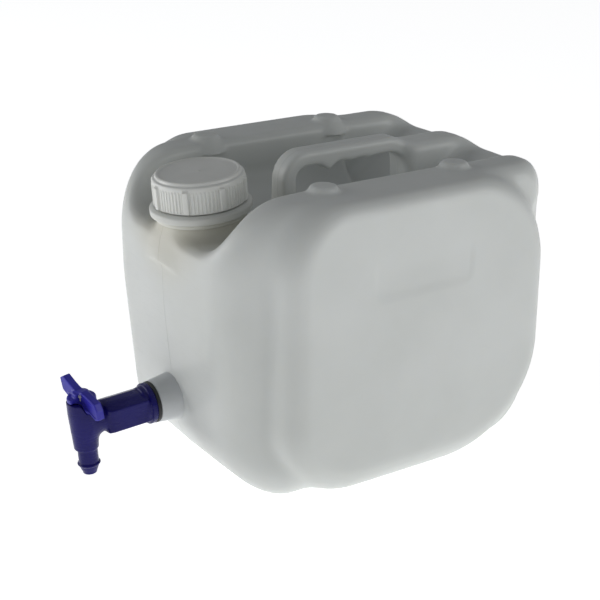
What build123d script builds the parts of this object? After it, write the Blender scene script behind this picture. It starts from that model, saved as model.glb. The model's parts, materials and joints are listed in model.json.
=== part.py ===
from build123d import *
import math
import os

# A ten litre jerry can laid out for dispensing: a blow moulded can with a screw cap on its front
# shoulder and a lever tap low on its front face. Millimetres. The origin is the middle of the base,
# +Z is up, -Y is the tap end, and the can is the same on its +X and -X sides.

# ---- the can's core: nose, rear and the two stacking ridges ----
core_front = -137.0
core_rear = 139.0
core_width = 198.0
ridge_top = 208.0
knee_height = 132.0
knee_setback = 11.0
knee_radius = 150.0
core_front_low_radius = 48.0
core_front_top_radius = 52.0
core_rear_top_radius = 50.0
core_rear_low_radius = 66.0
core_edge_radius = 42.0
wall = 1.8
weld = 0.5

# ---- raised side panels ----
panel_front_setback = 30.0
panel_rear_setback = 27.0
panel_rise = 16.0
panel_front_low_radius = 60.0
panel_front_top_radius = 60.0
panel_rear_top_radius = 70.0
panel_rear_low_radius = 72.0
panel_edge_radius = 25.0

# ---- label recess on each side panel ----
label_length = 80.0
label_height = 27.0
label_top_drop = 38.0
label_depth = 0.5
label_corner = 5.0

# ---- channel between the ridges, with its hand well and its two rear grooves ----
channel_width = 134.0
channel_corner = 26.0
neck_floor_drop = 38.0
well_floor_drop = 48.0
well_front_gap = 5.0
well_rear_setback = 79.0
groove_end_setback = 24.0
groove_end_drop = 8.0
spine_width = 28.0

# ---- stacking bumps ----
bump_spacing_x = 157.0
bump_spacing_y = 106.5
bump_middle_setback = 132.8
bump_base_radius = 11.0
bump_top_radius = 7.5
bump_height = 4.0

# ---- handle strap ----
handle_width = 18.0
handle_thickness = 10.5
handle_corner = 4.6
handle_rise = 7.6
handle_front_gap = 25.5
handle_rear_setback = 85.0
handle_rear_run = 24.0
handle_front_bend = 15.0
handle_rear_bend = 22.0

# ---- neck, its thread, and the axis they share with the cap ----
neck_setback = 32.3
neck_drop = 18.0
neck_lean = 4.2
neck_bore_radius = 25.2
neck_outer_radius = 27.9
neck_mouth = 19.6
neck_foot_radius = 31.0
neck_foot_drop = 24.0
collar_radius = 31.6
collar_low = -8.0
collar_high = -4.6
thread_pitch = 6.0
thread_depth = 1.3
thread_root_width = 2.6
thread_crest_width = 1.2
neck_thread_low = 5.5
neck_thread_turns = 1.75

# ---- tamper ring ----
ring_radius = 35.0
ring_height = 6.4
ring_fit = 0.25
snap_bead_depth = 0.8
snap_bead_width = 1.4

# ---- screw cap ----
cap_radius = 32.0
cap_lug_count = 8
cap_lug_width = 2.6
cap_lug_height = 14.0
cap_lug_rise = 1.3
cap_gap_above_ring = 0.5
cap_top = 23.5
cap_bevel = 3.4
cap_disc_radius = 26.5
cap_disc_recess = 0.7
cap_crown = 2.2
cap_thread_clearance = 0.55
cap_thread_turns = 1.25
liner_clearance = 0.3

# ---- threaded outlet boss ----
boss_height = 52.5
boss_lean = 3.0
boss_reach = 10.0
boss_end_radius = 15.2
boss_base_radius = 17.0
boss_depth = 26.0
boss_ring_radius = 18.4
outlet_radius = 13.2
outlet_clearance = 0.1

# ---- tap gasket and tap body; lengths run outwards from the boss's end face ----
gasket_radius = 14.9
gasket_thickness = 2.6
flange_radius = 14.6
flange_thickness = 4.2
collar_step_radius = 13.4
collar_step_thickness = 3.2
barrel_across = 24.6
barrel_length = 29.0
shank_length = 26.0
shank_bore_radius = 9.0
tap_reach = 52.0
pipe_bore_radius = 4.5
cylinder_radius = 10.6
cylinder_low_radius = 9.2
cylinder_low = -18.5
rim_height = 14.5
rim_tilt = 21.0
valve_bore_radius = 6.5
seat_height = -6.5
spout_radius = 7.1
spout_bore_radius = 4.0
spout_end = -38.0
barb_radius = 8.0
barb_height = -29.5
tip_radius = 5.2

# ---- valve plunger and its two seals ----
seat_washer_thickness = 1.6
plunger_clearance = 0.06
disc_thickness = 2.0
rod_radius = 2.6
piston_low = 4.2
piston_high = 10.4
ring_groove_middle = 5.8
ring_section_radius = 0.7
stem_radius = 2.5
stem_head_radius = 3.3
stem_head_thickness = 1.4

# ---- lever ----
lever_clearance = 0.9
lever_length = 41.0
lever_width = 9.0
lever_thickness = 5.2
lever_hub_radius = 10.2
lever_bore_clearance = 0.08
lever_end_radius = 4.0
blade_length = 13.0
blade_height = 4.5
blade_thickness = 3.2

# ---- places worked out from the sizes above ----
handle_top = ridge_top + handle_rise
neck_height = ridge_top - neck_drop
boss_end = core_front - boss_reach
snap_bead_height = (collar_high + ring_height) / 2
core_half = core_width / 2
panel_half = core_half + panel_rise
panel_front = core_front + panel_front_setback
panel_rear = core_rear - panel_rear_setback
channel_half = channel_width / 2
neck_y = core_front + neck_setback
neck_floor = ridge_top - neck_floor_drop
well_floor = ridge_top - well_floor_drop
well_front = neck_y + collar_radius + well_front_gap
well_rear = core_rear - well_rear_setback
bump_middle = core_front + bump_middle_setback
neck_place = Location((0, neck_y, neck_height), (neck_lean, 0, 0))
tap_place = Location((0, boss_end, boss_height), (boss_lean, 0, 0))
valve_place = tap_place * Location((0, -tap_reach, 0))


def turned(corners):
    """Solid turned about Z from its (radius, height) corners."""
    return revolve(Plane.XZ * make_face(Polyline(*corners, close=True)), Axis.Z)


def rounded(corners, radii):
    """Face with straight sides between corners, each corner rounded by its own radius."""
    outline = make_face(Polyline(*corners, close=True))
    for corner, radius in zip(corners, radii):
        vertex = outline.vertices().sort_by_distance((corner[0], corner[1], 0))[0]
        outline = fillet(vertex, radius)
    return outline


def block(half_width, side_view, edge_radius):
    """Block that fills a side view, with the edges of its two ends rounded over."""
    solid = extrude(Plane.YZ * side_view, amount=half_width, both=True)
    rims = solid.faces().filter_by(Axis.X).edges()
    return fillet(rims, edge_radius)


def trough(half_width, front, rear, floor, corner):
    """Trough along Y, open above, with rounded lower corners."""
    top = ridge_top + 2 * corner
    section = make_face(Polyline((-half_width, floor), (-half_width, top),
                                 (half_width, top), (half_width, floor), close=True))
    low = [v for v in section.vertices() if v.Y < floor + 1]
    section = fillet(low, corner)
    return Pos(0, rear, 0) * extrude(Plane.XZ * section, amount=rear - front)


def groove(side, inset):
    """Groove beside the rear spine, with a floor that rises and runs out to the rear."""
    inner = spine_width / 2 - inset
    outer = channel_half + inset
    start = well_rear - weld
    end = core_rear - groove_end_setback + inset
    run_out = core_rear + core_edge_radius
    side_view = make_face(Polyline((start, well_floor - inset), (end, ridge_top - groove_end_drop - inset),
                                   (run_out, ridge_top - inset), (run_out, ridge_top + core_edge_radius),
                                   (start, ridge_top + core_edge_radius), close=True))
    slab = extrude(Plane.YZ * side_view, amount=outer - inner)
    return Pos(inner if side > 0 else -outer, 0, 0) * slab


def handle(inset):
    """Strap that rises behind the neck, runs level and drops into the rear spine."""
    front = neck_y + ring_radius + handle_front_gap + handle_thickness / 2
    middle = handle_top - handle_thickness / 2
    bend = core_rear - handle_rear_setback
    foot = well_floor - 3 * wall
    route = FilletPolyline((0, front, foot), (0, front, middle), (0, bend, middle),
                           (0, bend + handle_rear_run, middle - handle_rear_run),
                           radius=[handle_front_bend, handle_rear_bend])
    section = RectangleRounded(handle_width - 2 * inset, handle_thickness - 2 * inset,
                               handle_corner - inset)
    start = Plane(origin=(0, front, foot), x_dir=(1, 0, 0), z_dir=(0, 0, 1))
    return sweep(start * section, path=route)


def bumps(inset):
    """Four low domes on the ridges that locate the can stacked above."""
    base = ridge_top - bump_height
    profile = [(0, base), (bump_base_radius - inset, base), (bump_base_radius - inset, ridge_top),
               (bump_top_radius - inset, ridge_top + bump_height - inset),
               (0, ridge_top + bump_height - inset)]
    dome = turned(profile)
    places = GridLocations(bump_spacing_x, bump_spacing_y, 2, 2)
    return [Pos(0, bump_middle, 0) * place * dome for place in places]


def form(inset):
    """The can's shape, drawn in by inset on every side; the wall lies between two of these."""
    low = inset
    high = ridge_top - inset
    front = core_front + inset
    rear = core_rear - inset
    core_view = rounded([(front + knee_setback, low), (front, knee_height), (front, high), (rear, high),
                         (rear, low)],
                        [core_front_low_radius - inset, knee_radius, core_front_top_radius - inset,
                         core_rear_top_radius - inset, core_rear_low_radius - inset])
    core = block(core_half - inset, core_view, core_edge_radius - inset)
    front = panel_front + inset
    rear = panel_rear - inset
    panel_view = rounded([(front, low), (front, high), (rear, high), (rear, low)],
                         [panel_front_low_radius - inset, panel_front_top_radius - inset,
                          panel_rear_top_radius - inset, panel_rear_low_radius - inset])
    panels = block(panel_half - inset, panel_view, panel_edge_radius - inset)
    body = core + panels
    body -= trough(channel_half + inset, core_front - collar_radius, well_front + inset,
                   neck_floor - inset, channel_corner)
    body -= trough(channel_half + inset, well_front - inset, well_rear + inset,
                   well_floor - inset, channel_corner)
    body -= groove(1, inset)
    body -= groove(-1, inset)
    body += bumps(inset)
    return body + handle(inset)


def thread_ridge(root_radius, crest_radius, low, turns):
    """One helical ridge of trapezoid section, its root sunk a little into the wall it stands on."""
    sink = math.copysign(weld, root_radius - crest_radius)
    root = root_radius + sink
    half_root = thread_root_width / 2
    half_crest = thread_crest_width / 2
    section = make_face(Polyline((root, -half_root), (crest_radius, -half_crest),
                                 (crest_radius, half_crest), (root, half_root), close=True))
    path = Helix(thread_pitch, turns * thread_pitch, root_radius)
    return Pos(0, 0, low) * sweep(Plane.XZ * section, path=path, is_frenet=True)


def neck():
    """Neck with its collar, snap bead and thread, about its own axis."""
    outer = turned([(0, -neck_foot_drop), (neck_foot_radius, -neck_foot_drop),
                    (neck_outer_radius, collar_low - neck_outer_radius / 6),
                    (neck_outer_radius, collar_low), (collar_radius, collar_low),
                    (collar_radius, collar_high), (neck_outer_radius, collar_high),
                    (neck_outer_radius, snap_bead_height - snap_bead_width),
                    (neck_outer_radius + snap_bead_depth, snap_bead_height - snap_bead_width / 2),
                    (neck_outer_radius + snap_bead_depth, snap_bead_height + snap_bead_width / 2),
                    (neck_outer_radius, snap_bead_height + snap_bead_width),
                    (neck_outer_radius, neck_mouth), (0, neck_mouth)])
    ridge = thread_ridge(neck_outer_radius, neck_outer_radius + thread_depth, neck_thread_low,
                         neck_thread_turns)
    return outer + ridge


def label_panel(side):
    """Shallow rounded recess in a side panel."""
    plate = RectangleRounded(label_length, label_height, label_corner)
    middle = ridge_top - label_top_drop - label_height / 2
    face = Plane(origin=(side * panel_half, 0, middle), x_dir=(0, 1, 0), z_dir=(side, 0, 0))
    return extrude(face * plate, amount=label_depth, both=True)


def bottle_shell():
    """Blow moulded can: the wall between the outer and the inner form, with neck and outlet."""
    shell = form(0) + neck_place * neck()
    shell -= form(wall)
    shell -= neck_place * Pos(0, 0, -neck_foot_drop - wall) * Cylinder(
        neck_bore_radius, neck_mouth + neck_foot_drop + 2 * wall,
        align=(Align.CENTER, Align.CENTER, Align.MIN))
    shell -= tap_place * Rot(90, 0, 0) * Cylinder(outlet_radius, 4 * boss_depth)
    shell -= label_panel(1)
    shell -= label_panel(-1)
    return shell


def along_tap(corners):
    """Solid turned about the tap's pipe axis; heights run outwards, towards the tap end."""
    return Rot(90, 0, 0) * turned(corners)


def tap_boss():
    """Threaded outlet boss, welded to the front wall, whose curve its back follows."""
    blank = along_tap([(outlet_radius, -boss_depth), (boss_ring_radius, -boss_depth),
                       (boss_base_radius, weld - boss_end_radius), (boss_end_radius, -1.0),
                       (boss_end_radius - 1.0, 0), (outlet_radius, 0)])
    return tap_place * blank - form(0)


def tamper_ring():
    """Ring that stays on the neck when the cap first breaks away."""
    inner = neck_outer_radius + ring_fit
    catch = inner + snap_bead_depth
    top = collar_high + ring_height
    return neck_place * turned([(inner, collar_high), (ring_radius - 0.6, collar_high),
                                (ring_radius, collar_high + 0.6), (ring_radius, top - 1.6),
                                (ring_radius - 1.8, top), (inner, top),
                                (inner, snap_bead_height + snap_bead_width + ring_fit),
                                (catch, snap_bead_height + snap_bead_width / 2 + ring_fit),
                                (catch, snap_bead_height - snap_bead_width / 2 - ring_fit),
                                (inner, snap_bead_height - snap_bead_width - ring_fit)])


def screw_cap():
    """Cap with a recessed disc, bevelled rim, skirt with eight lugs, and its own thread."""
    inner = neck_outer_radius + thread_depth + cap_thread_clearance
    low = collar_high + ring_height + cap_gap_above_ring
    under = cap_top - cap_crown
    shell = turned([(inner, low), (cap_radius, low), (cap_radius, cap_top - cap_bevel),
                    (cap_radius - cap_bevel, cap_top), (cap_disc_radius, cap_top),
                    (cap_disc_radius, cap_top - cap_disc_recess), (0, cap_top - cap_disc_recess),
                    (0, under), (inner, under)])
    lug = Box(cap_lug_rise + 1, cap_lug_width, cap_lug_height, align=(Align.MAX, Align.CENTER, Align.MIN))
    for place in PolarLocations(cap_radius + cap_lug_rise, cap_lug_count):
        shell += place * Pos(0, 0, low) * lug
    ridge_low = neck_thread_low + thread_pitch / 2
    ridge = thread_ridge(inner, inner - thread_depth, ridge_low, cap_thread_turns)
    return neck_place * (shell + ridge)


def cap_liner():
    """Foam sealing disc between the neck's mouth and the cap."""
    inner = neck_outer_radius + thread_depth + cap_thread_clearance
    radius = inner - liner_clearance
    under = cap_top - cap_crown
    return neck_place * turned([(0, neck_mouth), (radius, neck_mouth), (radius, under), (0, under)])


def tap_gasket():
    """Flat rubber washer between the boss and the tap's flange."""
    return tap_place * along_tap([(outlet_radius, 0), (gasket_radius, 0),
                                  (gasket_radius, gasket_thickness), (outlet_radius, gasket_thickness)])


def tap_body():
    """Tap moulding: shank, flange, eight sided barrel, upright valve cylinder and barbed spout."""
    flange_end = gasket_thickness + flange_thickness
    step_end = flange_end + collar_step_thickness
    barrel_end = step_end + barrel_length
    shank = outlet_radius - outlet_clearance
    pipe = along_tap([(0, -shank_length), (shank - 1, -shank_length), (shank, 1 - shank_length),
                      (shank, gasket_thickness), (flange_radius - 0.6, gasket_thickness),
                      (flange_radius, gasket_thickness + 0.6), (flange_radius, flange_end - 0.6),
                      (flange_radius - 0.6, flange_end), (collar_step_radius, flange_end),
                      (collar_step_radius, step_end - 1), (collar_step_radius - 1, step_end),
                      (0, step_end)])
    prism = extrude(RegularPolygon(barrel_across / 2, 8, major_radius=False, rotation=22.5),
                    amount=tap_reach - step_end)
    barrel = Rot(90, 0, 0) * Pos(0, 0, step_end - weld) * prism
    keep = along_tap([(0, step_end - 1), (barrel_across, step_end - 1), (barrel_across, barrel_end - 8),
                      (cylinder_radius, barrel_end + 4), (cylinder_radius, tap_reach), (0, tap_reach)])
    body = pipe + (barrel & keep)
    top = rim_height + 2 * cylinder_radius
    upright = turned([(0, spout_end), (tip_radius, spout_end), (spout_radius - 0.4, barb_height - 1.2),
                      (barb_radius, barb_height), (barb_radius - 0.2, barb_height + 0.8),
                      (spout_radius, barb_height + 1.2), (spout_radius + 0.3, cylinder_low - 1),
                      (cylinder_low_radius, cylinder_low), (cylinder_radius - 0.3, 0),
                      (cylinder_radius, rim_height), (cylinder_radius, top), (0, top)])
    above = Pos(0, 0, rim_height) * Rot(0, rim_tilt, 0) * Box(
        6 * cylinder_radius, 6 * cylinder_radius, 6 * cylinder_radius,
        align=(Align.CENTER, Align.CENTER, Align.MIN))
    upright -= above
    body += Pos(0, -tap_reach, 0) * upright
    body -= along_tap([(0, -shank_length), (shank_bore_radius, -shank_length),
                       (shank_bore_radius, step_end), (pipe_bore_radius, barrel_end - 8),
                       (pipe_bore_radius, tap_reach), (0, tap_reach)])
    body -= Pos(0, -tap_reach, 0) * turned([(0, spout_end), (spout_bore_radius, spout_end),
                                            (spout_bore_radius, seat_height),
                                            (valve_bore_radius, seat_height),
                                            (valve_bore_radius, top), (0, top)])
    return tap_place * body


def lever_underside():
    """Height of the lever's hub above the rim's own centre height."""
    return rim_height + lever_clearance / math.cos(math.radians(rim_tilt))


def tap_plunger():
    """Plunger: sealing disc, rod, guiding piston with a ring groove, and the lever's stem."""
    disc_low = seat_height + seat_washer_thickness
    radius = valve_bore_radius - plunger_clearance
    groove_half = ring_section_radius
    groove_radius = radius - 2 * ring_section_radius + plunger_clearance / 2
    head_low = lever_underside() + lever_thickness + lever_bore_clearance
    return valve_place * turned([
        (0, disc_low), (radius, disc_low), (radius, disc_low + disc_thickness),
        (rod_radius, disc_low + disc_thickness + 0.6), (rod_radius, piston_low), (radius, piston_low),
        (radius, ring_groove_middle - groove_half), (groove_radius, ring_groove_middle - groove_half),
        (groove_radius, ring_groove_middle + groove_half), (radius, ring_groove_middle + groove_half),
        (radius, piston_high), (stem_radius, piston_high), (stem_radius, head_low),
        (stem_head_radius, head_low), (stem_radius, head_low + stem_head_thickness),
        (0, head_low + stem_head_thickness)])


def plunger_ring():
    """Rubber ring in the piston's groove."""
    major = valve_bore_radius - plunger_clearance / 2 - ring_section_radius
    return valve_place * Pos(0, 0, ring_groove_middle) * Torus(major, ring_section_radius - 0.01)


def seat_washer():
    """Rubber washer under the plunger's disc, which closes on the seat."""
    radius = valve_bore_radius - plunger_clearance
    return valve_place * turned([(0, seat_height), (radius, seat_height),
                                 (radius, seat_height + seat_washer_thickness),
                                 (0, seat_height + seat_washer_thickness)])


def tap_lever():
    """Two winged lever, sloped like the rim that it rides on, with an upturned blade on one wing."""
    bar = Box(lever_length, lever_width, lever_thickness, align=(Align.CENTER, Align.CENTER, Align.MIN))
    bar = fillet(bar.edges().filter_by(Axis.Z), lever_end_radius)
    hub = Cylinder(lever_hub_radius, lever_thickness, align=(Align.CENTER, Align.CENTER, Align.MIN))
    blade = Pos((blade_length - lever_length) / 2, 0, lever_thickness - weld) * Box(
        blade_length, blade_thickness, blade_height, align=(Align.CENTER, Align.CENTER, Align.MIN))
    lever = Pos(0, 0, lever_underside()) * Rot(0, rim_tilt, 0) * (bar + hub + blade)
    bore = Cylinder(stem_radius + lever_bore_clearance, 6 * lever_thickness)
    counterbore = Pos(0, 0, lever_underside() + lever_thickness) * Cylinder(
        stem_head_radius + 0.6, 2 * lever_thickness, align=(Align.CENTER, Align.CENTER, Align.MIN))
    return valve_place * (lever - Pos(0, 0, rim_height) * bore - counterbore)


pieces = {
    "bottle_shell": bottle_shell,
    "tap_boss": tap_boss,
    "tamper_ring": tamper_ring,
    "screw_cap": screw_cap,
    "cap_liner": cap_liner,
    "tap_gasket": tap_gasket,
    "tap_body": tap_body,
    "tap_plunger": tap_plunger,
    "plunger_ring": plunger_ring,
    "seat_washer": seat_washer,
    "tap_lever": tap_lever,
}

os.makedirs("parts", exist_ok=True)
for name, make in pieces.items():
    export_step(make(), os.path.join("parts", name + ".step"))
print("space inside, litres:", round(form(wall).volume / 1e6, 2))
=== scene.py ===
"""A ten litre dispensing can in natural polyethylene, with a ribbed screw cap and a blue lever tap.

Sizes are in millimetres in the row frame and become metres where a mesh is made. The can, the tap
body and the lever are blended mouldings with holes through them, so each is the zero surface of a
distance worked out on a grid of points. Everything round is a profile turned about its own axis.
"""
import math

import bpy
import numpy as np
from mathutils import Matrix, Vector
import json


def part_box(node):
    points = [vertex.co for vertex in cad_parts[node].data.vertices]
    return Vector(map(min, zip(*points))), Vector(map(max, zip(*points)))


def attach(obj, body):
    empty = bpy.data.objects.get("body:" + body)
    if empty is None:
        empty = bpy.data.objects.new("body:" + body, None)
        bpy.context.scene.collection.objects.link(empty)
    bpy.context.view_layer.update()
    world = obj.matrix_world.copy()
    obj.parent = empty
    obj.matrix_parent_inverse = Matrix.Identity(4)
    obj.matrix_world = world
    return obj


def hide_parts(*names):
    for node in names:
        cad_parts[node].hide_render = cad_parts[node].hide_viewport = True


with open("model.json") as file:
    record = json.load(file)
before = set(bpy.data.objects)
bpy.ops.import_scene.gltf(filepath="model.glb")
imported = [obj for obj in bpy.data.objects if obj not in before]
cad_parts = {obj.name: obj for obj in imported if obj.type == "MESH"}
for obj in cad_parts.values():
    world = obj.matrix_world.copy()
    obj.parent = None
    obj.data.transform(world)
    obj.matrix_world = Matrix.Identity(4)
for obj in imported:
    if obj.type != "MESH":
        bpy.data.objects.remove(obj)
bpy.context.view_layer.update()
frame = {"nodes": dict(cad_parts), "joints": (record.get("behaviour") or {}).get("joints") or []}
MM = 1000.0

# ---- places read from the frame ----
can_low, can_high = (np.array(corner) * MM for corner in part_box("bottle_shell"))
joints = {joint["name"]: joint for joint in frame["joints"]}
neck_middle = np.array(joints["cap_turn"]["pos_m"]) * MM
neck_axis = np.array(joints["cap_turn"]["axis"], float)
valve_middle = np.array(joints["lever_turn"]["pos_m"]) * MM
valve_axis = np.array(joints["lever_turn"]["axis"], float)

# ---- the can's sizes ----
core_front, core_rear = can_low[1], can_high[1]
core_half = 99.0
ridge_top = 210.5
panel_half = can_high[0]
panel_front, panel_rear = core_front + 30.0, core_rear - 27.0
knee_height, knee_setback = 132.0, 11.0
channel_half, channel_corner = 67.0, 26.0
neck_floor, well_floor = ridge_top - 38.0, ridge_top - 48.0
well_front, well_rear = -68.1, core_rear - 79.0
spine_half = 14.0
bump_x, bump_y, bump_middle = 78.5, 53.25, core_front + 132.8
seam_height, seam_width = 0.3, 0.5
handle_top = can_high[2]
handle_front, handle_bend = -38.95, core_rear - 85.0
strap_half_width, strap_half_thickness, strap_corner = 9.0, 5.25, 3.0
# Outline corners are low front, high front, high rear and low rear. Edges face front, rear, up and down.
CORE_CORNERS = (40.0, 54.0, 42.0, 61.0)
CORE_EDGES = (42.0, 50.0, 14.0, 25.0)
PANEL_CORNERS = (60.0, 50.0, 70.0, 82.0)
PANEL_EDGES = (20.0, 18.0, 12.0, 25.0)

# ---- neck, cap and ring sizes, along the neck's own axis ----
collar_low, ring_low, ring_high = -8.0, -4.6, 1.8
neck_radius, neck_bore, neck_mouth = 27.9, 25.2, 19.6
cap_low, cap_radius = 2.3, 31.5
cap_ribs, rib_proud, lug_proud, lug_spacing = 80, 0.55, 1.7, math.pi / 4
thread_low, thread_pitch, thread_proud = 3.0, 6.0, 1.3

# ---- tap sizes, along the pipe from the boss's end face, and up the valve ----
tap_reach = 52.0
weld_radius, weld_middle, weld_half_length = 17.4, -26.0, 10.5
flange_radius, flange_middle, flange_half = 14.6, 4.6, 2.0
step_radius, step_middle, step_half = 12.9, 7.4, 2.4
barrel_half_width, barrel_half_height, barrel_middle, barrel_half_length = 11.9, 11.4, 23.0, 15.5
link_radius, link_middle, link_half_length = 9.4, 42.0, 8.0
cylinder_radius, cylinder_foot, valve_bore, valve_seat = 10.6, -18.5, 6.5, -9.0
taper_top, taper_run, taper_slope, lean_slope = 8.0, 27.0, 0.08, 0.02
rim_top, rim_dip, rim_depth, ramp_start, ramp_end = 17.4, 11.0, 6.4, 110, 212
spout_radius, spout_barb, spout_foot, spout_bore = 6.9, 1.1, -38.0, 4.0

# ---- lever sizes, along its wings, across them and up the valve ----
lever_turned = math.radians(13.0)
plate_half_thickness, hub_radius, hub_top = 2.9, 10.0, 20.6
dome_radius, dome_half_height = 5.8, 3.4
stem_radius, stem_head_radius, stem_head_low, stem_head_high = 2.75, 3.6, 20.4, 22.4
LEVER_OUTLINE = np.array((
    (-14.4, 31.4), (-7.8, 27.3), (-1.6, 24.2), (4.4, 25.0), (11.1, 22.7), (17.3, 20.2), (19.5, 15.7),
    (20.1, 9.9), (17.2, 8.8), (9.7, 12.4), (4.0, 15.8), (-1.2, 17.7), (-7.2, 17.8), (-12.0, 18.4),
    (-16.6, 21.4), (-18.2, 29.2)))


# ------------------------------------------------------------------ distances
def smooth_min(a, b, k):
    """The smaller of two distances, with a fillet about k wide where they meet."""
    h = np.clip(0.5 + 0.5 * (b - a) / k, 0, 1)
    return b * (1 - h) + a * h - k * h * (1 - h)


def smooth_max(a, b, k):
    """The larger of two distances, with a rounding about k wide where they meet."""
    return -smooth_min(-a, -b, k)


def step(low, high, value):
    """0 below low, 1 above high, and the smooth curve 3t^2 - 2t^3 between."""
    t = np.clip((value - low) / (high - low), 0, 1)
    return t * t * (3 - 2 * t)


def corner_join(a, b, r):
    """Distance to the corner of two half spaces a and b, rounded with radius r."""
    a, b = a + r, b + r
    return np.hypot(np.maximum(a, 0), np.maximum(b, 0)) + np.minimum(np.maximum(a, b), 0) - r


def side_outline(y, z, front, rear, low, high, radii):
    """Distance to a rectangle whose four corners have their own radii, and the outward direction.

    radii are those of the low front, high front, high rear and low rear corners. Inside a corner's
    square the distance is taken from the corner's centre, elsewhere from the nearer side.
    """
    cy, cz = (front + rear) / 2, (low + high) / 2
    at_front, at_low = y < cy, z < cz
    low_front, high_front, high_rear, low_rear = radii
    r = np.where(at_low, np.where(at_front, low_front, low_rear),
                 np.where(at_front, high_front, high_rear))
    qy, qz = np.abs(y - cy) - (rear - front) / 2 + r, np.abs(z - cz) - (high - low) / 2 + r
    py, pz = np.maximum(qy, 0), np.maximum(qz, 0)
    length = np.hypot(py, pz)
    distance = length + np.minimum(np.maximum(qy, qz), 0) - r
    length = np.maximum(length, 1e-6)
    return distance, np.sign(y - cy) * py / length, np.sign(z - cz) * pz / length


def edge_radius(ny, nz, front, rear, high, low):
    """Edge radius that changes with the direction (ny, nz) that the outline faces."""
    return (front * np.maximum(-ny, 0) ** 2 + rear * np.maximum(ny, 0) ** 2
            + high * np.maximum(nz, 0) ** 2 + low * np.maximum(-nz, 0) ** 2)


def core_block(x, y, z):
    """The can between its panels: a side outline with a receding lower front, bowed across X."""
    setback = knee_setback * np.sqrt(np.clip((knee_height - z) / knee_height, 0, 1) ** 2 + 0.01)
    bow = 2.0 * (x / 70.0) ** 2
    front_share = np.clip((20 - y) / 150, 0, 1)
    rear_share = np.clip((y - 20) / 110, 0, 1)
    moved = y - (setback + bow) * front_share + bow * rear_share
    outline, ny, nz = side_outline(moved, z, core_front, core_rear, 0, ridge_top, CORE_CORNERS)
    r = edge_radius(ny, nz, *CORE_EDGES)
    return corner_join(outline, np.abs(x) - core_half, r)


def panel_block(x, y, z):
    """The two raised side panels, slightly crowned, as one wide block."""
    outline, ny, nz = side_outline(y, z, panel_front, panel_rear, 0, ridge_top, PANEL_CORNERS)
    r = edge_radius(ny, nz, *PANEL_EDGES)
    crown = 1.4 * (((y - 3) / 110) ** 2 + ((z - 100) / 105) ** 2)
    return corner_join(outline, np.abs(x) - panel_half + crown, r)


def channel(x, y, z):
    """The channel between the ridges: a trough with round lower corners, deeper behind the neck."""
    floor = neck_floor + (well_floor - neck_floor) * step(well_front - 5, well_front + 7, y)
    trough = corner_join(np.abs(x) - channel_half, floor - z, channel_corner)
    return smooth_max(trough, y - well_rear, 16.0)


def rear_grooves(x, y, z):
    """Two grooves beside the spine, whose floors rise and run out to the rear."""
    start, end = well_rear - 1, core_rear - 24
    rise = (ridge_top - 8 - well_floor) / (end - start)
    floor = well_floor + rise * (y - start)
    floor = smooth_min(floor, ridge_top - 8 + 0.12 * (y - end), 8.0)
    sides = smooth_max(np.abs(x) - channel_half, spine_half - np.abs(x), 4.0)
    return smooth_max(smooth_max(sides, (floor - z) / math.hypot(1, rise), 12.0), start - y, 4.0)


def strap(x, y, z):
    """The handle: a rounded strap along leg, bend, level grip, bend and slope, in the plane x = 0.

    n is the offset outwards from the strap's middle line and the grip's ridges thicken its inside.
    """
    bend_front, bend_rear = 15.0, 22.0
    top = handle_top - strap_half_thickness
    leg_top, grip_start = top - bend_front, handle_front + bend_front
    grip_end = handle_bend - bend_rear * math.tan(math.pi / 8)
    slope = math.sqrt(0.5)
    leg = handle_front - y
    front_arc = np.hypot(y - grip_start, z - leg_top) - bend_front
    grip = z - top
    rear_arc = np.hypot(y - grip_end, z - top + bend_rear) - bend_rear
    run = (y - grip_end) * slope + (z - top + bend_rear) * slope - bend_rear
    after = (y - grip_end) - (z - top + bend_rear) > 0
    n = np.where(y < grip_start, np.where(z < leg_top, leg, front_arc), grip)
    n = np.where(y > grip_end, np.where(after, run, rear_arc), n)
    cusp = 4.8 * np.exp(-((y + 6.0) / 5.2) ** 2)
    cusp += 1.0 * np.exp(-((y - 13.0) / 4.5) ** 2) + 0.8 * np.exp(-((y - 29.0) / 4.5) ** 2)
    cusp = cusp * (z > leg_top)
    foot = 2.2 * step(206, 168, z)
    inner = strap_half_thickness + cusp + foot
    middle, half = (strap_half_thickness - inner) / 2, (strap_half_thickness + inner) / 2
    wide = np.abs(x) - strap_half_width - 1.5 * step(200, 166, z)
    return corner_join(wide, np.abs(n - middle) - half, strap_corner)


def bump(x, y, z):
    """Four blunt cones on the ridges, the same in all four quarters, ended just under the ridge."""
    r = np.hypot(np.abs(x) - bump_x, np.abs(y - bump_middle) - bump_y)
    side = (r - 11.0 + (z - ridge_top) * 0.62) * 0.85
    dish = 0.5 * step(5.5, 0, r)
    return np.maximum(smooth_max(side, z - ridge_top - 4.1 + dish, 1.3), ridge_top - 9.0 - z)


def neck_foot(x, y, z):
    """Cone under the neck's collar, about the neck's leaning axis."""
    px, py, pz = x - neck_middle[0], y - neck_middle[1], z - neck_middle[2]
    h = py * neck_axis[1] + pz * neck_axis[2]
    r = np.sqrt(np.maximum(px ** 2 + py ** 2 + pz ** 2 - h ** 2, 0))
    cone = smooth_max(r - neck_radius - 2.0 + 0.24 * (h - collar_low), h - collar_low - 1.0, 0.6)
    return np.maximum(cone, -32.0 - h)


def label_recess(y, z):
    """Depth of the label's recess, full at its lower edge and faded out towards its upper edge."""
    outline = corner_join(np.abs(y) - 40, np.abs(z - 168) - 25, 6.0)
    return 0.8 * step(0.6, -0.9, outline) * step(176, 158, z)


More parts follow.
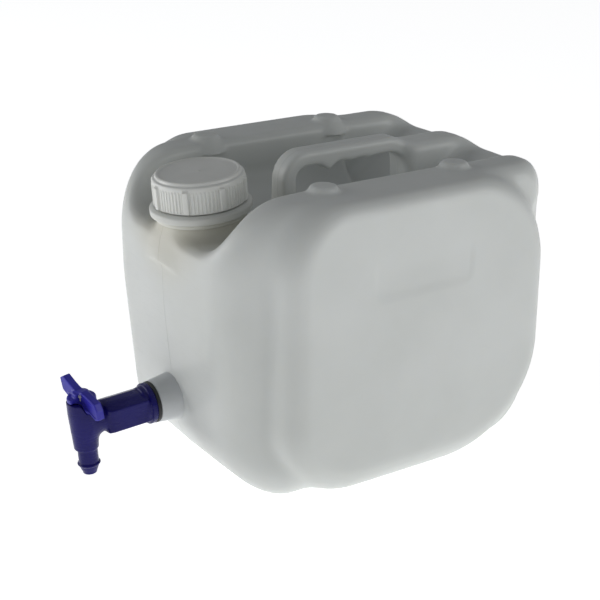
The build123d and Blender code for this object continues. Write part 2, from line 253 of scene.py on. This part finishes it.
def can_distance(x, y, z):
    """Distance to the can's outer surface.

    The blocks are joined, the channel and grooves cut, then the bumps, the neck's foot and the handle
    are added, the underside is recessed and the parting line raised.
    """
    fillet = 5.0 + 2.5 * step(140, 195, z)
    body = smooth_min(core_block(x, y, z), panel_block(x, y, z) + label_recess(y, z), fillet)
    body = smooth_max(smooth_max(body, z - ridge_top, 2.0), -z, 1.0)
    body = smooth_max(body, -channel(x, y, z), 7.0)
    body = smooth_max(body, -rear_grooves(x, y, z), 8.0)
    body = smooth_min(body, bump(x, y, z), 1.4)
    body = smooth_min(body, neck_foot(x, y, z), 7.0)
    close = (np.abs(x) < 22) & (y > -64) & (y < 96) & (z > 150)
    if np.any(close):
        px, py, pz = np.broadcast_arrays(x, y, z)
        close = np.broadcast_to(close, body.shape)
        handle = strap(px[close], py[close], pz[close])
        body[close] = smooth_min(body[close], handle, 5.0)
    base = corner_join(corner_join(np.abs(x) - 74, np.abs(y - 4) - 92, 24.0), z - 1.8, 1.0)
    body = smooth_max(body, -base, 2.5)
    return body - seam_height * np.exp(-(x / seam_width) ** 2)


# ------------------------------------------------------------------ meshes
def ticks(low, high, pitch, finer=()):
    """Grid lines from low to high at a pitch, with (middle, half, pitch) stretches that are finer."""
    lines = np.linspace(low, high, int(round((high - low) / pitch)) + 1)
    for middle, half, fine in finer:
        lines = lines[np.abs(lines - middle) > half + 0.25 * pitch]
        lines = np.concatenate([lines, np.linspace(middle - half, middle + half,
                                                   int(round(2 * half / fine)) + 1)])
    return np.sort(lines)


def contour(distance, xs, ys, zs):
    """Vertices and quads of the surface where distance is nought.

    Each cell that the surface crosses gets one vertex, the mean of the crossings on its edges, which
    is then moved along the gradient on to the surface. Each grid edge with a change of sign gives one
    quad through its four cells, wound so that it faces outwards.
    """
    field = distance(xs[:, None, None], ys[None, :, None], zs[None, None, :]).astype(float)
    inside = field < 0
    shape = np.array(field.shape) - 1
    total, count = np.zeros((*shape, 3)), np.zeros(shape)
    lines = (xs, ys, zs)
    quads = []
    index_of = np.arange(shape.prod()).reshape(shape)
    for axis in range(3):
        others = [a for a in range(3) if a != axis]
        low = [slice(None)] * 3
        high = [slice(None)] * 3
        low[axis], high[axis] = slice(None, -1), slice(1, None)
        f0, f1 = field[tuple(low)], field[tuple(high)]
        crossing = inside[tuple(low)] != inside[tuple(high)]
        where = np.argwhere(crossing)
        share = f0[crossing] / (f0[crossing] - f1[crossing])
        point = np.empty((len(where), 3))
        for a in range(3):
            point[:, a] = lines[a][where[:, a]]
        point[:, axis] += share * (lines[axis][where[:, axis] + 1] - lines[axis][where[:, axis]])
        ring = []
        for du, dv in ((-1, -1), (0, -1), (0, 0), (-1, 0)):
            cell = where.copy()
            cell[:, others[0]] += du
            cell[:, others[1]] += dv
            np.add.at(total, tuple(cell.T), point)
            np.add.at(count, tuple(cell.T), 1)
            ring.append(index_of[tuple(cell.T)])
        ring = np.stack(ring, 1)
        turn = inside[tuple(low)][crossing] ^ (axis == 1)
        quads.append(np.where(turn[:, None], ring, ring[:, ::-1]))
    quads = np.concatenate(quads)
    used, faces = np.unique(quads, return_inverse=True)
    faces = faces.reshape(quads.shape)
    cells = np.unravel_index(used, shape)
    points = total[cells] / count[cells][:, None]
    pitch = np.min([np.diff(line).min() for line in lines])
    for _ in range(4):
        value = distance(*points.T)
        slope = np.stack([distance(*(points + offset).T) - distance(*(points - offset).T)
                          for offset in np.eye(3) * 0.05], 1) / 0.1
        move = value[:, None] * slope / np.maximum((slope ** 2).sum(1), 0.2)[:, None]
        points -= np.clip(move, -0.7 * pitch, 0.7 * pitch)
    return points, faces


def outward(points, faces):
    """The faces, turned round if the volume that they enclose comes out below nought."""
    a, b, c, d = (points[faces[:, corner]] for corner in range(4))
    volume = (a * np.cross(b, c)).sum() + (a * np.cross(c, d)).sum()
    return faces if volume > 0 else faces[:, ::-1]


def mesh_piece(name, surface, material, body, stands_for=(), sharp_angle=None):
    """One smooth object from (points in millimetres, four cornered faces), riding on a body.

    Points that no face uses are dropped, and a face with a corner twice becomes a triangle.
    """
    points, faces = surface
    faces = outward(points, faces)
    used, places = np.unique(faces, return_inverse=True)
    faces = [list(dict.fromkeys(face)) for face in places.reshape(faces.shape).tolist()]
    mesh = bpy.data.meshes.new(name)
    mesh.from_pydata((points[used] / MM).tolist(), [], faces)
    mesh.validate()
    mesh.shade_smooth()
    if sharp_angle is not None:
        mesh.set_sharp_from_angle(angle=math.radians(sharp_angle))
    piece = bpy.data.objects.new(name, mesh)
    bpy.context.scene.collection.objects.link(piece)
    mesh.materials.append(material)
    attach(piece, body)
    if stands_for:
        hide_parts(*stands_for)
    return piece


def lathe(profile, middle, axis, sides, ripple=None, loop=False):
    """Surface turned about an axis from (radius, height) pairs, where a radius of 0 is a pole.

    A point is middle + radius (cos a, sin a) across the axis + height along it. loop joins the last
    pair to the first. ripple(radius, height, angle) may return a radius that changes with the angle.
    """
    profile = np.array(profile, float)
    angle = np.linspace(0, 2 * math.pi, sides, endpoint=False)
    along = np.asarray(axis, float) / np.linalg.norm(axis)
    across = np.array((1.0, 0.0, 0.0))
    third = np.cross(along, across)
    radius = np.repeat(profile[:, :1], sides, 1)
    if ripple is not None:
        radius = ripple(radius, profile[:, 1:2], angle[None, :])
    points = (np.asarray(middle) + radius[..., None] * (np.cos(angle)[:, None] * across
              + np.sin(angle)[:, None] * third) + profile[:, 1][:, None, None] * along).reshape(-1, 3)
    index = np.arange(len(points)).reshape(len(profile), sides)
    pole = profile[:, 0] < 1e-6
    index[pole] = index[pole][:, :1]
    upper = np.roll(index, -1, 0)
    quads = np.stack([index, np.roll(index, -1, 1), np.roll(upper, -1, 1), upper], -1)
    return points, (quads if loop else quads[:-1]).reshape(-1, 4)


def rounded(profile, radius, steps=4):
    """The profile with each inner corner cut back and replaced by a short arc of about that radius."""
    profile = np.array(profile, float)
    out = [profile[0]]
    for before, corner, after in zip(profile[:-2], profile[1:-1], profile[2:]):
        back, ahead = before - corner, after - corner
        cut = min(radius, 0.45 * np.hypot(*back), 0.45 * np.hypot(*ahead))
        start, end = corner + cut * back / np.hypot(*back), corner + cut * ahead / np.hypot(*ahead)
        for t in np.linspace(0, 1, steps + 1):
            out.append((1 - t) ** 2 * start + 2 * t * (1 - t) * corner + t ** 2 * end)
    return np.array(out + [profile[-1]])


# ------------------------------------------------------------------ materials
def socket(group, name, kind, way, value=None):
    """A named input or output of a node group."""
    made = group.interface.new_socket(name=name, in_out=way, socket_type=kind)
    if value is not None:
        made.default_value = value
    return made


def moulded_group():
    """Moulded plastic: broad mottle, slow waviness, fine grain and thin scuffs, on Object coordinates."""
    group = bpy.data.node_groups.new("moulded_surface", "ShaderNodeTree")
    socket(group, "Tint", "NodeSocketColor", "INPUT", (0.8, 0.8, 0.8, 1))
    socket(group, "Shade", "NodeSocketColor", "INPUT", (0.7, 0.7, 0.7, 1))
    socket(group, "Mottle Scale", "NodeSocketFloat", "INPUT", 14.0)
    socket(group, "Smooth Roughness", "NodeSocketFloat", "INPUT", 0.35)
    socket(group, "Scuffed Roughness", "NodeSocketFloat", "INPUT", 0.55)
    socket(group, "Waviness", "NodeSocketFloat", "INPUT", 0.1)
    socket(group, "Grain", "NodeSocketFloat", "INPUT", 0.05)
    socket(group, "Color", "NodeSocketColor", "OUTPUT")
    socket(group, "Roughness", "NodeSocketFloat", "OUTPUT")
    socket(group, "Normal", "NodeSocketVector", "OUTPUT")
    nodes, link = group.nodes, group.links.new
    enter, leave = nodes.new("NodeGroupInput"), nodes.new("NodeGroupOutput")
    place = nodes.new("ShaderNodeTexCoord").outputs["Object"]

    def noise(scale, detail, stretch=None):
        made = nodes.new("ShaderNodeTexNoise")
        made.inputs["Scale"].default_value = scale
        made.inputs["Detail"].default_value = detail
        source = place
        if stretch:
            mapping = nodes.new("ShaderNodeMapping")
            mapping.inputs["Scale"].default_value = stretch
            link(place, mapping.inputs["Vector"])
            source = mapping.outputs["Vector"]
        link(source, made.inputs["Vector"])
        return made

    def between(value, low, high):
        made = nodes.new("ShaderNodeMapRange")
        made.inputs["From Min"].default_value = low
        made.inputs["From Max"].default_value = high
        link(value, made.inputs["Value"])
        return made.outputs["Result"]

    mottle = noise(14.0, 4.0)
    link(enter.outputs["Mottle Scale"], mottle.inputs["Scale"])
    blend = nodes.new("ShaderNodeMix")
    blend.data_type = "RGBA"
    link(between(mottle.outputs["Fac"], 0.35, 0.7), blend.inputs["Factor"])
    color_out = [out for out in blend.outputs if out.type == "RGBA"][0]
    for name, source in (("A", "Tint"), ("B", "Shade")):
        target = [into for into in blend.inputs if into.name == name and into.type == "RGBA"][0]
        link(enter.outputs[source], target)
    link(color_out, leave.inputs["Color"])
    scuff = noise(60.0, 6.0, (1.0, 1.0, 5.0))
    rough = nodes.new("ShaderNodeMapRange")
    rough.inputs["From Min"].default_value = 0.52
    rough.inputs["From Max"].default_value = 0.72
    link(scuff.outputs["Fac"], rough.inputs["Value"])
    link(enter.outputs["Smooth Roughness"], rough.inputs["To Min"])
    link(enter.outputs["Scuffed Roughness"], rough.inputs["To Max"])
    link(rough.outputs["Result"], leave.inputs["Roughness"])
    normal = None
    for strength, scale, depth in (("Waviness", 28.0, 0.002), ("Grain", 1500.0, 0.0002)):
        relief = nodes.new("ShaderNodeBump")
        relief.inputs["Distance"].default_value = depth
        link(noise(scale, 2.0).outputs["Fac"], relief.inputs["Height"])
        link(enter.outputs[strength], relief.inputs["Strength"])
        if normal is not None:
            link(normal, relief.inputs["Normal"])
        normal = relief.outputs["Normal"]
    link(normal, leave.inputs["Normal"])
    return group


def plastic(name, tint, shade, smooth, scuffed, wave=0.1, grain=0.05, glow=0.0, depth=0.004,
            scale=14.0, painted_shade=None, specular=0.5):
    """A moulded plastic or rubber: the shared surface group feeding one Principled BSDF.

    smooth and scuffed are roughnesses. glow is the subsurface weight and depth its scale in metres.
    specular is the specular level, 0.5 for a plain plastic. The argument given as (place, reach,
    colour) is painted shade: a darker tint that fades out over that reach from a place in the row
    frame, both in metres.
    """
    material = bpy.data.materials.new(name)
    material.use_nodes = True
    nodes, link = material.node_tree.nodes, material.node_tree.links.new
    shader = nodes["Principled BSDF"]
    surface = nodes.new("ShaderNodeGroup")
    surface.node_tree = moulded
    for socket_name, value in (("Tint", (*tint, 1)), ("Shade", (*shade, 1)), ("Mottle Scale", scale),
                               ("Smooth Roughness", smooth), ("Scuffed Roughness", scuffed),
                               ("Waviness", wave), ("Grain", grain)):
        surface.inputs[socket_name].default_value = value
    color = surface.outputs["Color"]
    # Painted shade: a darker, yellower tint mixed in near a place, fading out over a reach.
    if painted_shade:
        middle, reach, painted_shade_color = painted_shade
        place = nodes.new("ShaderNodeTexCoord")
        away = nodes.new("ShaderNodeVectorMath")
        away.operation = "DISTANCE"
        away.inputs[1].default_value = middle
        link(place.outputs["Object"], away.inputs[0])
        fade = nodes.new("ShaderNodeMapRange")
        fade.interpolation_type = "SMOOTHSTEP"
        fade.inputs["From Min"].default_value = reach
        fade.inputs["From Max"].default_value = 0.4 * reach
        fade.inputs["To Max"].default_value = 0.8
        link(away.outputs["Value"], fade.inputs["Value"])
        mix = nodes.new("ShaderNodeMix")
        mix.data_type = "RGBA"
        colors = [into for into in mix.inputs if into.type == "RGBA"]
        link(fade.outputs["Result"], mix.inputs[0])
        link(color, colors[0])
        colors[1].default_value = (*painted_shade_color, 1)
        color = [out for out in mix.outputs if out.type == "RGBA"][0]
    link(color, shader.inputs["Base Color"])
    link(surface.outputs["Roughness"], shader.inputs["Roughness"])
    link(surface.outputs["Normal"], shader.inputs["Normal"])
    shader.inputs["Subsurface Weight"].default_value = glow
    shader.inputs["Subsurface Radius"].default_value = (1.0, 0.9, 0.75)
    shader.inputs["Subsurface Scale"].default_value = depth
    shader.inputs["Specular IOR Level"].default_value = specular
    return material


moulded = moulded_group()
neck_place = tuple(neck_middle / MM)
# The can's polyethylene, with painted shade: a darker, yellower tint round the neck's foot under the cap.
can_plastic = plastic(
    "can_polyethylene", (0.63, 0.65, 0.635), (0.57, 0.59, 0.57), 0.38, 0.55, wave=0.16,
    glow=0.35, depth=0.008, scale=9.0, painted_shade=(neck_place, 0.07, (0.56, 0.54, 0.45)))
# Painted shade: the neck is the can's own polyethylene, given a darker, yellower copy of its colour where the
# cap and ring shade it.
neck_shaded_plastic = plastic(
    "neck_polyethylene_shaded", (0.62, 0.62, 0.57), (0.55, 0.54, 0.47), 0.38, 0.55, wave=0.05,
    glow=0.35, depth=0.006)
ring_plastic = plastic(
    "ring_polyethylene", (0.62, 0.63, 0.60), (0.56, 0.57, 0.54), 0.38, 0.5, wave=0.05,
    glow=0.2, depth=0.003)
cap_plastic = plastic(
    "cap_polyethylene", (0.72, 0.73, 0.70), (0.65, 0.66, 0.63), 0.34, 0.5, wave=0.04, grain=0.06,
    glow=0.2, depth=0.003, scale=30.0)
boss_plastic = plastic(
    "boss_polyethylene", (0.56, 0.58, 0.59), (0.49, 0.51, 0.52), 0.36, 0.5, wave=0.06,
    glow=0.25, scale=40.0)
liner_foam = plastic(
    "liner_foam", (0.85, 0.85, 0.82), (0.77, 0.77, 0.73), 0.7, 0.85, grain=0.6,
    glow=0.1, depth=0.002, scale=80.0)
gasket_rubber = plastic(
    "gasket_rubber", (0.012, 0.012, 0.013), (0.022, 0.022, 0.022), 0.5, 0.7, wave=0.05, grain=0.2)
seal_rubber = plastic(
    "seal_rubber", (0.02, 0.02, 0.02), (0.035, 0.035, 0.035), 0.45, 0.65, wave=0.05, grain=0.2)
tap_plastic = plastic(
    "tap_blue", (0.008, 0.006, 0.130), (0.006, 0.004, 0.100), 0.26, 0.40, wave=0.05,
    depth=0.001, scale=50.0, specular=0.22)
lever_plastic = plastic(
    "lever_blue", (0.038, 0.034, 0.42), (0.030, 0.026, 0.34), 0.30, 0.45, wave=0.05, grain=0.12,
    depth=0.001, scale=50.0, specular=0.35)
plunger_plastic = plastic(
    "plunger_acetal", (0.74, 0.74, 0.70), (0.66, 0.66, 0.61), 0.3, 0.45, wave=0.03, grain=0.04,
    glow=0.15, depth=0.002, scale=60.0)

# ------------------------------------------------------------------ can, neck, ring and cap
pipe_out = np.array((0.0, -valve_axis[2], valve_axis[1]))
boss_end = valve_middle - tap_reach * pipe_out


def boss_foot(x, y, z):
    """The weld: a shallow cone about the pipe that the can's front rises into."""
    px, py, pz = x - boss_end[0], y - boss_end[1], z - boss_end[2]
    s = py * pipe_out[1] + pz * pipe_out[2]
    r = np.sqrt(np.maximum(px ** 2 + py ** 2 + pz ** 2 - s ** 2, 0))
    cone = r - weld_radius + 0.1 * (s + 18)
    return smooth_max(cone, np.abs(s - weld_middle) - weld_half_length, 1.0)


def can_with_weld(x, y, z):
    """The can's distance with the weld round the boss filleted into it."""
    return smooth_min(can_distance(x, y, z), boss_foot(x, y, z), 3.0)


seam_lines = (0, 1.2, 0.3)
can_grid = (ticks(-118, 118, 2.3, (seam_lines,)), ticks(-142, 143, 2.2),
            np.concatenate([ticks(-4, 148, 2.9)[:-1], ticks(148, 220, 1.6)]))
mesh_piece("can_skin", contour(can_with_weld, *can_grid), can_plastic, "can", ("bottle_shell",))


def thread(radius, height, angle):
    """Neck radius with one helical ridge, which fades in near its foot and out near the mouth."""
    outside = radius > 27.0
    turns = (height - thread_low) / thread_pitch - angle / (2 * math.pi)
    across = np.abs((turns + 0.5) % 1.0 - 0.5) * thread_pitch
    ridge = thread_proud * step(1.6, 0.7, across) * step(2.6, 4.2, height) * step(17.2, 15.6, height)
    return radius + ridge * outside


neck_outside = [(neck_radius, h) for h in np.linspace(2.4, 18.4, 41)]
neck_loop = np.concatenate([
    rounded([(neck_bore, -12), (neck_radius, -12), (neck_radius + 0.6, collar_low), (31.6, collar_low),
             (31.6, ring_low - 0.4), (neck_radius, ring_low - 0.2), (neck_radius, 2.0)], 0.9, 3),
    neck_outside, rounded([(neck_radius, 18.5), (neck_radius, neck_mouth), (neck_bore, neck_mouth),
                           (neck_bore, 4.0)], 1.0, 4)])
mesh_piece("neck_finish", lathe(neck_loop, neck_middle, neck_axis, 240, thread, True), neck_shaded_plastic, "can",
           ("bottle_shell",))
ring_loop = [(28.2, -4.3), (34.2, -4.35), (34.8, -4.0), (35.0, -3.4), (35.0, -0.6), (34.9, 0.1), (34.4, 0.7),
             (33.6, 1.2), (33.0, 1.7), (32.4, ring_high), (28.2, ring_high)]
mesh_piece("tamper_band", lathe(ring_loop, neck_middle, neck_axis, 240, None, True), ring_plastic, "can",
           ("tamper_ring",), 50)


def grip(radius, height, angle):
    """Cap radius with fine ribs, and eight wider lugs that rise above them and leave a gap beside."""
    outside = radius > 31.35
    lug_angle = np.abs((angle / lug_spacing + 0.5) % 1.0 - 0.5) * math.pi / 4
    from_lug = lug_angle * cap_radius
    lug = step(2.3, 1.5, from_lug) * step(2.4, 3.4, height) * step(19.2, 17.8, height)
    rib_band = step(2.6, 3.2, height) * step(18.0, 17.0, height)
    rib = np.clip(0.5 + 1.2 * np.cos(cap_ribs * angle), 0, 1) * rib_band
    beside = step(2.2, 3.4, from_lug)
    return radius + outside * (rib_proud * rib * beside + lug_proud * lug)


cap_skirt = [(cap_radius, h) for h in np.linspace(18.0, 2.8, 32)]
cap_disc = [(0, 23.4), (0.9, 23.35), (1.5, 22.95), (2.2, 22.8), (12, 22.8), (24, 22.8), (26, 22.8)]
cap_shoulder = [
    (26.6, 22.9), (26.9, 23.2), (27.2, 23.45), (27.8, 23.5), (28.4, 23.35), (28.9, 22.9),
    (29.2, 22.2), (29.3, 21.6), (29.6, 21.2), (30.2, 21.0), (30.9, 20.7), (31.2, 20.1),
    (31.3, 19.4), (cap_radius, 18.6)]
cap_inside = [
    (cap_radius, 2.5), (31.1, cap_low), (30.2, cap_low), (29.9, 2.7), (29.9, 20.9), (0, 21.3)]
cap_loop = np.array([*cap_disc, *cap_shoulder, *cap_skirt, *cap_inside])
mesh_piece("ribbed_cap", lathe(cap_loop, neck_middle, neck_axis, 960, grip), cap_plastic, "cap",
           ("screw_cap",), 45)

# ------------------------------------------------------------------ boss, gasket and tap
boss_loop = rounded([(12.8, -24), (17.9, -24), (17.0, -14.7), (15.2, -1.0), (14.7, -0.1), (12.8, 0.0),
                     (12.8, -12.0)], 0.9, 4)
mesh_piece("outlet_boss", lathe(boss_loop, boss_end, pipe_out, 160, None, True), boss_plastic, "can",
           ("tap_boss",), 50)
gasket_loop = rounded([(12.0, 1.3), (12.0, 0.02), (14.9, 0.02), (14.9, 2.58), (12.0, 2.58), (12.0, 1.2)], 0.9, 5)
mesh_piece("face_gasket", lathe(gasket_loop, boss_end, pipe_out, 160, None, True), gasket_rubber, "can",
           ("tap_gasket",))


def rim_level(x, s):
    """Height of the valve's rim by the angle from the front: level, a dip, then a ramp for the lever."""
    turn = np.degrees(np.arctan2(x, s - tap_reach)) % 360
    ramp = rim_dip + 0.0628 * (turn - ramp_start)
    dip = rim_top - rim_depth * step(58, 88, turn)
    level = np.where(turn < ramp_start, dip, np.minimum(ramp, rim_top))
    return np.where(turn > ramp_end, rim_top, level)


def tap_distance(x, s, h):
    """The tap body: flange, faceted barrel and shoulder, upright valve cylinder with a step, hose spout.

    x is across, s along the pipe from the boss's face and h up the valve. The parts are blended with
    fillets, then the valve's bore and the spout's bore are taken out.
    """
    about_pipe = np.hypot(x, h)
    flange = corner_join(about_pipe - flange_radius, np.abs(s - flange_middle) - flange_half, 0.7)
    collar = corner_join(about_pipe - step_radius, np.abs(s - step_middle) - step_half, 0.6)
    sides = smooth_max(np.abs(x) - barrel_half_width, np.abs(h) - barrel_half_height, 1.0)
    roof = 0.38 * np.abs(x) + 0.925 * np.abs(h) - 12.0
    bevel = 0.7 * (np.maximum(np.abs(x), np.abs(h)) - 11.8 + 0.9 * (s - 36.0))
    ends = smooth_max(np.abs(s - barrel_middle) - barrel_half_length, bevel, 1.0)
    barrel = smooth_max(smooth_max(sides, roof, 0.8), ends, 1.2)
    link = smooth_max(about_pipe - link_radius, np.abs(s - link_middle) - link_half_length, 1.0)
    about_valve = np.hypot(x, s - tap_reach)
    below = np.clip(taper_top - h, 0, taper_run)
    lean = np.hypot(x, s - tap_reach - lean_slope * below)
    tapered = lean - cylinder_radius + taper_slope * below
    wall = smooth_max(smooth_max(tapered, cylinder_foot - h, 0.8), h - rim_level(x, s), 0.5)
    barb = spout_barb * step(-32.0, -30.4, h) * step(-28.8, -30.2, h)
    nozzle = spout_radius + barb - 2.0 * step(-31.0, spout_foot, h)
    spout = smooth_max(about_valve - nozzle, np.maximum(spout_foot - h, h + 18), 0.8)
    body = smooth_min(smooth_min(flange, collar, 0.8), barrel, 1.0)
    body = smooth_min(smooth_min(body, link, 2.0), wall, 5.0)
    body = smooth_min(body, spout, 1.6)
    body = smooth_max(body, h - np.where(about_valve < 13, rim_level(x, s), 40.0), 0.4)
    body = smooth_max(body, -smooth_max(about_valve - valve_bore, valve_seat - h, 0.5), 0.6)
    return smooth_max(body, -smooth_max(about_valve - spout_bore, h + 8, 0.5), 0.5)


def tap_to_row(surface, middle, axes):
    """Points in a piece's own three directions, moved into the row frame about a middle."""
    points, faces = surface
    return middle + points @ np.array(axes), faces


sideways = np.array((1.0, 0.0, 0.0))
tap_grid = (ticks(-16, 16, 0.55), ticks(1.4, 66, 0.55), ticks(-40, 19.5, 0.55))
tap_shape = contour(tap_distance, *tap_grid)
mesh_piece("tap_moulding", tap_to_row(tap_shape, boss_end, (sideways, pipe_out, valve_axis)), tap_plastic,
           "can", ("tap_body",), 60)


def inside_outline(u, h, corners):
    """Signed distance to a closed outline: nearest edge, below nought where a ray crosses it oddly."""
    nearest = np.full(u.shape, 1e9)
    odd = np.zeros(u.shape, bool)
    for (ax, ay), (bx, by) in zip(corners, np.roll(corners, -1, 0)):
        ex, ey = bx - ax, by - ay
        t = np.clip(((u - ax) * ex + (h - ay) * ey) / (ex * ex + ey * ey), 0, 1)
        nearest = np.minimum(nearest, np.hypot(u - ax - t * ex, h - ay - t * ey))
        if ay != by:
            odd ^= ((ay > h) != (by > h)) & (u < ex * (h - ay) / ey + ax)
    return np.where(odd, -nearest, nearest)


def lever_distance(u, w, h):
    """The lever: an upright winged plate along u with a round hub, a sunk panel and the stem's hole."""
    u, w, h = np.broadcast_arrays(u, w, h)
    outline = inside_outline(u, h, LEVER_OUTLINE) - 0.5
    plate = corner_join(outline, np.abs(w) - plate_half_thickness, 1.0)
    about = np.hypot(u, w)
    turn_cos, turn_sin = math.cos(lever_turned), math.sin(lever_turned)
    rim = rim_level(u * turn_cos - w * turn_sin, tap_reach - u * turn_sin - w * turn_cos)
    hub = smooth_max(smooth_max(about - hub_radius, h - hub_top, 1.4), rim + 0.4 - h, 0.3)
    dome = smooth_max(about - dome_radius, np.abs(h - hub_top) - dome_half_height, 1.2)
    body = smooth_min(smooth_min(plate, hub, 2.4), dome, 1.6)
    panel = np.maximum(np.maximum(outline + 1.7, 1.5 - u), w + 2.2)
    body = smooth_max(body, -panel, 0.5)
    head_room = np.maximum(about - stem_head_radius, stem_head_low - h)
    hole = np.maximum(np.minimum(about - stem_radius, head_room), h - stem_head_high)
    return smooth_max(body, -hole, 0.4)


lever_along = np.array((math.cos(lever_turned), math.sin(lever_turned), 0.0))
lever_across = np.cross(valve_axis, lever_along)
lever_grid = (ticks(-21, 23, 0.45), ticks(-12, 12, 0.45), ticks(6, 34, 0.45))
lever_shape = contour(lever_distance, *lever_grid)
mesh_piece("winged_lever", tap_to_row(lever_shape, valve_middle, (lever_along, lever_across, valve_axis)),
           lever_plastic, "lever", ("tap_lever",), 60)

for node_name, finish in (("cap_liner", liner_foam), ("tap_plunger", plunger_plastic),
                          ("plunger_ring", seal_rubber), ("seat_washer", seal_rubber)):
    for material_slot in frame["nodes"][node_name].material_slots:
        material_slot.material = finish

# ------------------------------------------------------------------ floor, light and camera
floor_half, floor_glow, room_light = 12, 0.74, 0.24
floor_mesh = bpy.data.meshes.new("floor")
floor_mesh.from_pydata([(-floor_half, -floor_half, 0), (floor_half, -floor_half, 0),
                        (floor_half, floor_half, 0), (-floor_half, floor_half, 0)], [], [(0, 1, 2, 3)])
floor = bpy.data.objects.new("floor", floor_mesh)
bpy.context.scene.collection.objects.link(floor)
floor_paint = bpy.data.materials.new("floor_paint")
floor_paint.use_nodes = True
floor_shader = floor_paint.node_tree.nodes["Principled BSDF"]
floor_shader.inputs["Base Color"].default_value = (0.85, 0.85, 0.85, 1)
floor_shader.inputs["Roughness"].default_value = 0.9
floor_shader.inputs["Emission Color"].default_value = (1, 1, 1, 1)
floor_shader.inputs["Emission Strength"].default_value = floor_glow
floor_mesh.materials.append(floor_paint)


def soft_box(name, place, aim, width, height, power):
    """A rectangular area light, in metres and watts, aimed at a point."""
    light = bpy.data.lights.new(name, "AREA")
    light.shape = "RECTANGLE"
    light.size, light.size_y, light.energy = width, height, power
    box = bpy.data.objects.new(name, light)
    bpy.context.scene.collection.objects.link(box)
    box.location = place
    box.rotation_euler = (Vector(aim) - Vector(place)).to_track_quat("-Z", "Y").to_euler()


world = bpy.data.worlds.new("room")
world.use_nodes = True
background = world.node_tree.nodes["Background"]
background.inputs["Color"].default_value = (0.95, 0.97, 1, 1)
background.inputs["Strength"].default_value = room_light
bpy.context.scene.world = world
can_middle = (0, 0, 0.1)
box_width, box_height, front_watts, side_watts = 1.6, 1.2, 21, 16
soft_box("front_box", (-1.5, -2.1, 0.7), can_middle, box_width, box_height, front_watts)
soft_box("side_box", (2.1, 1.7, 0.7), can_middle, box_width, box_height, side_watts)

camera_data = bpy.data.cameras.new("camera")
camera_data.lens, camera_data.sensor_width = 80.84, 36.0
camera = bpy.data.objects.new("camera", camera_data)
bpy.context.scene.collection.objects.link(camera)
azimuth, elevation = math.radians(57.436), math.radians(21.386)
camera.location = (0.7709, -0.5176, 0.4609)
looking = Vector((-math.sin(azimuth) * math.cos(elevation), math.cos(azimuth) * math.cos(elevation),
                  -math.sin(elevation)))
camera.rotation_euler = looking.to_track_quat("-Z", "Y").to_euler()
bpy.context.scene.camera = camera
bpy.context.scene.view_settings.view_transform = "Standard"
